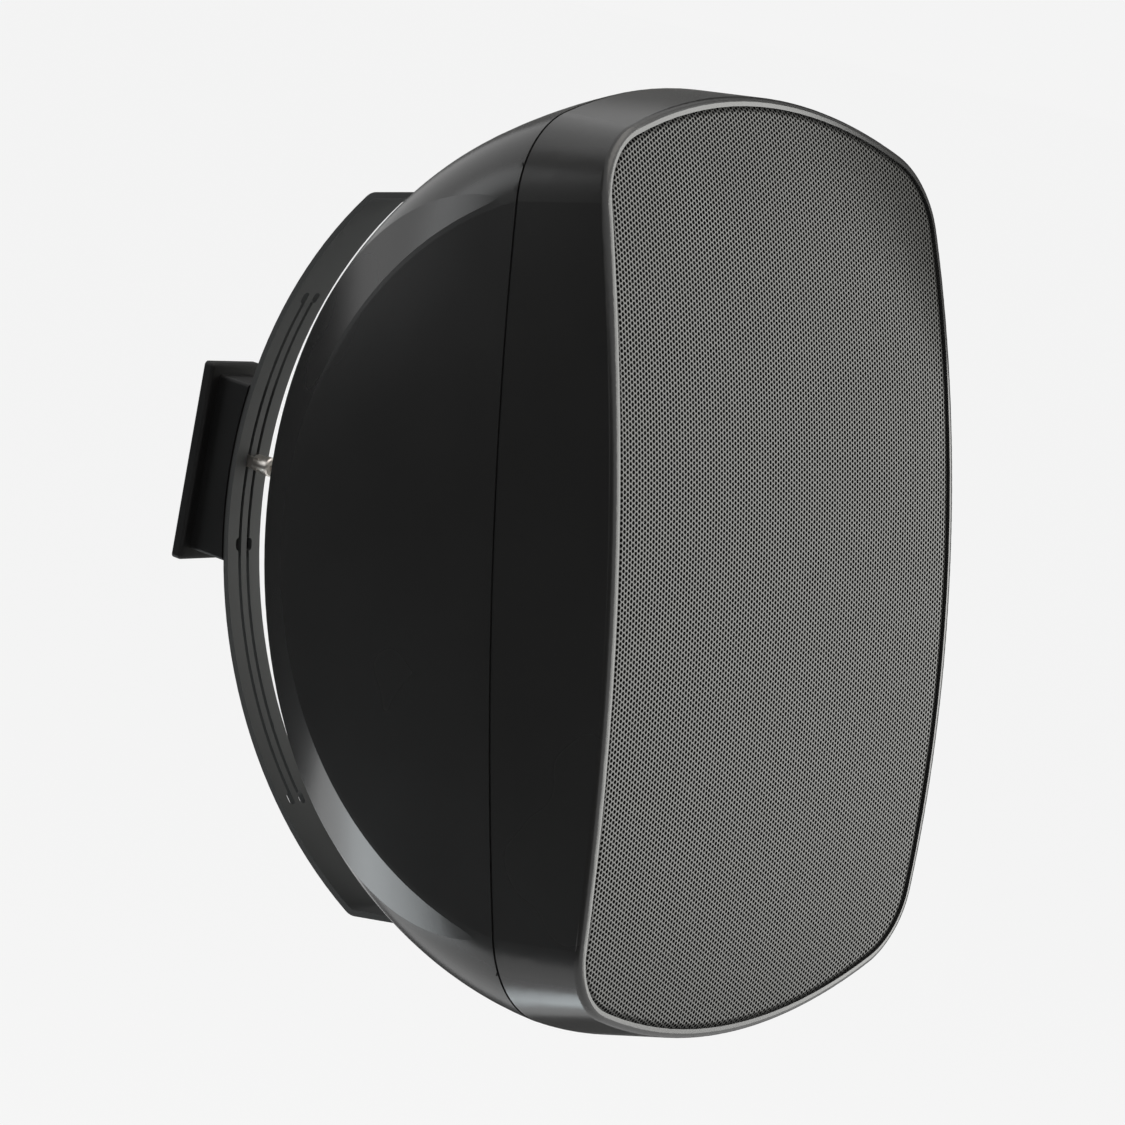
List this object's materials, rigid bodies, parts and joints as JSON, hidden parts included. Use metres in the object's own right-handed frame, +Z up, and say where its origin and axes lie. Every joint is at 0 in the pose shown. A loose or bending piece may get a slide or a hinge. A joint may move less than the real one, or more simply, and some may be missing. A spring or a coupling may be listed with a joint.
{
  "type": "outdoor patio speaker",
  "caption": "Wall-hung outdoor speaker with a domed two-part housing, curved perforated grille and a slotted steel bow that slides through a clamp on a wall base.",
  "frame": {"origin": "on the wall base's back face, where it meets the wall, straight behind the clamp and 4.9 mm above the base's middle", "axes": "+Z up along the wall base, +Y into the wall, +X to the right seen from the room; the speaker faces -Y and aims 11.5 degrees up"},
  "size_m": [0.2318, 0.3216, 0.3669],
  "materials": {
    "base_plastic": "satin moulded",
    "clamp_steel": "turned, bright",
    "bow_steel": "satin powder coat",
    "housing": "satin moulded",
    "seal_rubber": "matt",
    "grille_steel": "satin powder coat",
    "screw_steel": "black zinc",
    "dark_steel": "black zinc",
    "nylon": "natural nylon",
    "brass": "bare",
    "basket_metal": "black cast",
    "surround_rubber": "matt",
    "cone_poly": "matt",
    "spider_cloth": "woven",
    "coil_aluminium": "bare",
    "plate_steel": "zinc",
    "ferrite": "matt",
    "tweeter_plastic": "matt",
    "dome_metal": "satin",
    "tray_plastic": "matt",
    "nut_red": "gloss",
    "nut_black": "gloss",
    "board": "solder mask",
    "copper": "enamelled",
    "capacitor_film": "gloss",
    "ceramic": "matt"
  },
  "bodies": {
    "wall_bracket": {"wall_base": "base_plastic", "clamp_fork": "clamp_steel", "clamp_screw": "clamp_steel", "fork_pin": "clamp_steel"},
    "bow": {"mounting_bow": "bow_steel"},
    "speaker": {"rear_shell": "housing", "front_bezel": "housing", "seam_gasket": "seal_rubber", "grille": "grille_steel", "housing_screws": "screw_steel", "pivot_bolts": "dark_steel", "pivot_washers": "nylon", "pivot_inserts": "brass", "woofer_basket": "basket_metal", "woofer_gasket": "seal_rubber", "woofer_surround": "surround_rubber", "woofer_spider": "spider_cloth", "woofer_top_plate": "plate_steel", "woofer_magnet": "ferrite", "woofer_back_plate": "plate_steel", "woofer_screws": "screw_steel", "tweeter_plate": "tweeter_plastic", "tweeter_surround": "surround_rubber", "tweeter_magnet": "ferrite", "tweeter_screws": "screw_steel", "terminal_tray": "tray_plastic", "terminal_gasket": "seal_rubber", "terminal_screws": "screw_steel", "terminal_posts": "brass", "terminal_collars": "tray_plastic", "crossover_board": "board", "crossover_spacers": "nylon", "crossover_coils": "copper", "crossover_capacitors": "capacitor_film", "crossover_resistor": "ceramic"},
    "cone": {"woofer_cone": "cone_poly", "woofer_dust_cap": "cone_poly", "woofer_voice_coil": "coil_aluminium"},
    "dome": {"tweeter_dome": "dome_metal"},
    "nut_right": {"thumb_nut_right": "nut_red"},
    "nut_left": {"thumb_nut_left": "nut_black"}
  },
  "joints": [
    {"name": "tilt", "type": "hinge", "parent": "wall_bracket", "child": "bow", "pos_m": [0, -0.2031, 0], "axis": [1, 0, 0], "range_deg": [-22, 45]},
    {"name": "pan", "type": "hinge", "parent": "bow", "child": "speaker", "pos_m": [0, -0.17981, 0.00261], "axis": [0, 0.1994, 0.9799], "range_deg": [-35, 35]},
    {"name": "cone_travel", "type": "slide", "parent": "speaker", "child": "cone", "axis": [0, -0.9799, 0.1994], "range_m": [-0.005, 0.005], "stiffness_N_per_m": 1500, "deforming": ["woofer_surround", "woofer_spider"]},
    {"name": "dome_travel", "type": "slide", "parent": "speaker", "child": "dome", "axis": [0, -0.9799, 0.1994], "range_m": [-0.0003, 0.0003], "stiffness_N_per_m": 800, "deforming": ["tweeter_surround"]},
    {"name": "nut_right_turn", "type": "hinge", "parent": "speaker", "child": "nut_right", "pos_m": [0.013, -0.11465, -0.01065], "axis": [0, 0.9799, -0.1994], "range_deg": [0, 720]},
    {"name": "nut_left_turn", "type": "hinge", "parent": "speaker", "child": "nut_left", "pos_m": [-0.013, -0.11465, -0.01065], "axis": [0, 0.9799, -0.1994], "range_deg": [0, 720]}
  ]
}
